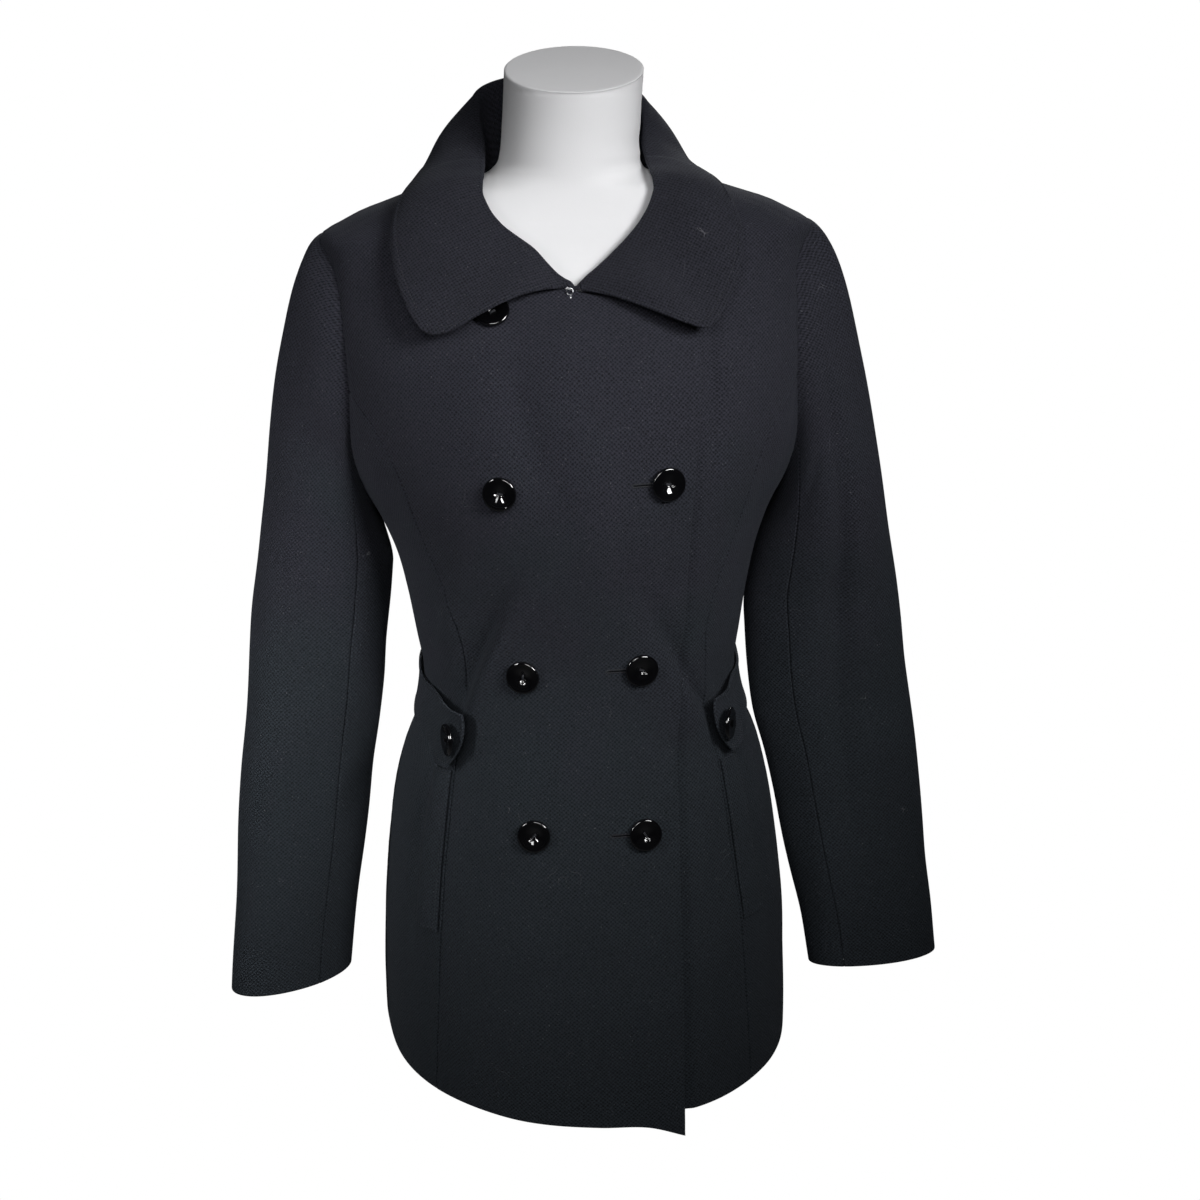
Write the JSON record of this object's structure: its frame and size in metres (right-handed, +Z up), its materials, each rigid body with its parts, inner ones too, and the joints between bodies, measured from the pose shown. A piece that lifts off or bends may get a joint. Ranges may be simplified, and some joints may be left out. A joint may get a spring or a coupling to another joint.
{
  "type": "short double-breasted coat on a dress form",
  "caption": "Short fitted double-breasted coat with a wide rolled collar, waist tabs and welt pockets, closed on a smooth limbless dress form.",
  "frame": {"origin": "Centre of the flat base of the dress form, which the part stands on.", "axes": "+Z is up. -Y is the coat's front. +X is the wearer's left side."},
  "size_m": [0.5939, 0.3057, 0.8563],
  "materials": {
    "panel_cloth": "matte blue-black hopsack wool",
    "sleeve_cloth": "matte blue-black hopsack wool",
    "collar_cloth": "matte blue-black hopsack wool, two layers",
    "trim_cloth": "matte blue-black hopsack wool, two layers",
    "form_jersey": "smooth white jersey cover",
    "button_plastic": "polished black",
    "hook_wire": "bright bent wire"
  },
  "bodies": {
    "root": {"back_left": "panel_cloth", "back_right": "panel_cloth", "collar": "collar_cloth", "dress_form": "form_jersey", "front_button_1_outer": "button_plastic", "front_button_2_inner": "button_plastic", "front_button_2_outer": "button_plastic", "front_button_3_inner": "button_plastic", "front_button_3_outer": "button_plastic", "front_button_4_inner": "button_plastic", "front_button_4_outer": "button_plastic", "front_left": "panel_cloth", "front_right": "panel_cloth", "hook": "hook_wire", "pocket_welt_left": "trim_cloth", "pocket_welt_right": "trim_cloth", "side_back_left": "panel_cloth", "side_back_right": "panel_cloth", "side_front_left": "panel_cloth", "side_front_right": "panel_cloth", "tab_button_left": "button_plastic", "tab_button_right": "button_plastic", "tab_left": "trim_cloth", "tab_right": "trim_cloth", "top_sleeve_left": "sleeve_cloth", "top_sleeve_right": "sleeve_cloth", "under_sleeve_left": "sleeve_cloth", "under_sleeve_right": "sleeve_cloth"}
  },
  "joints": []
}
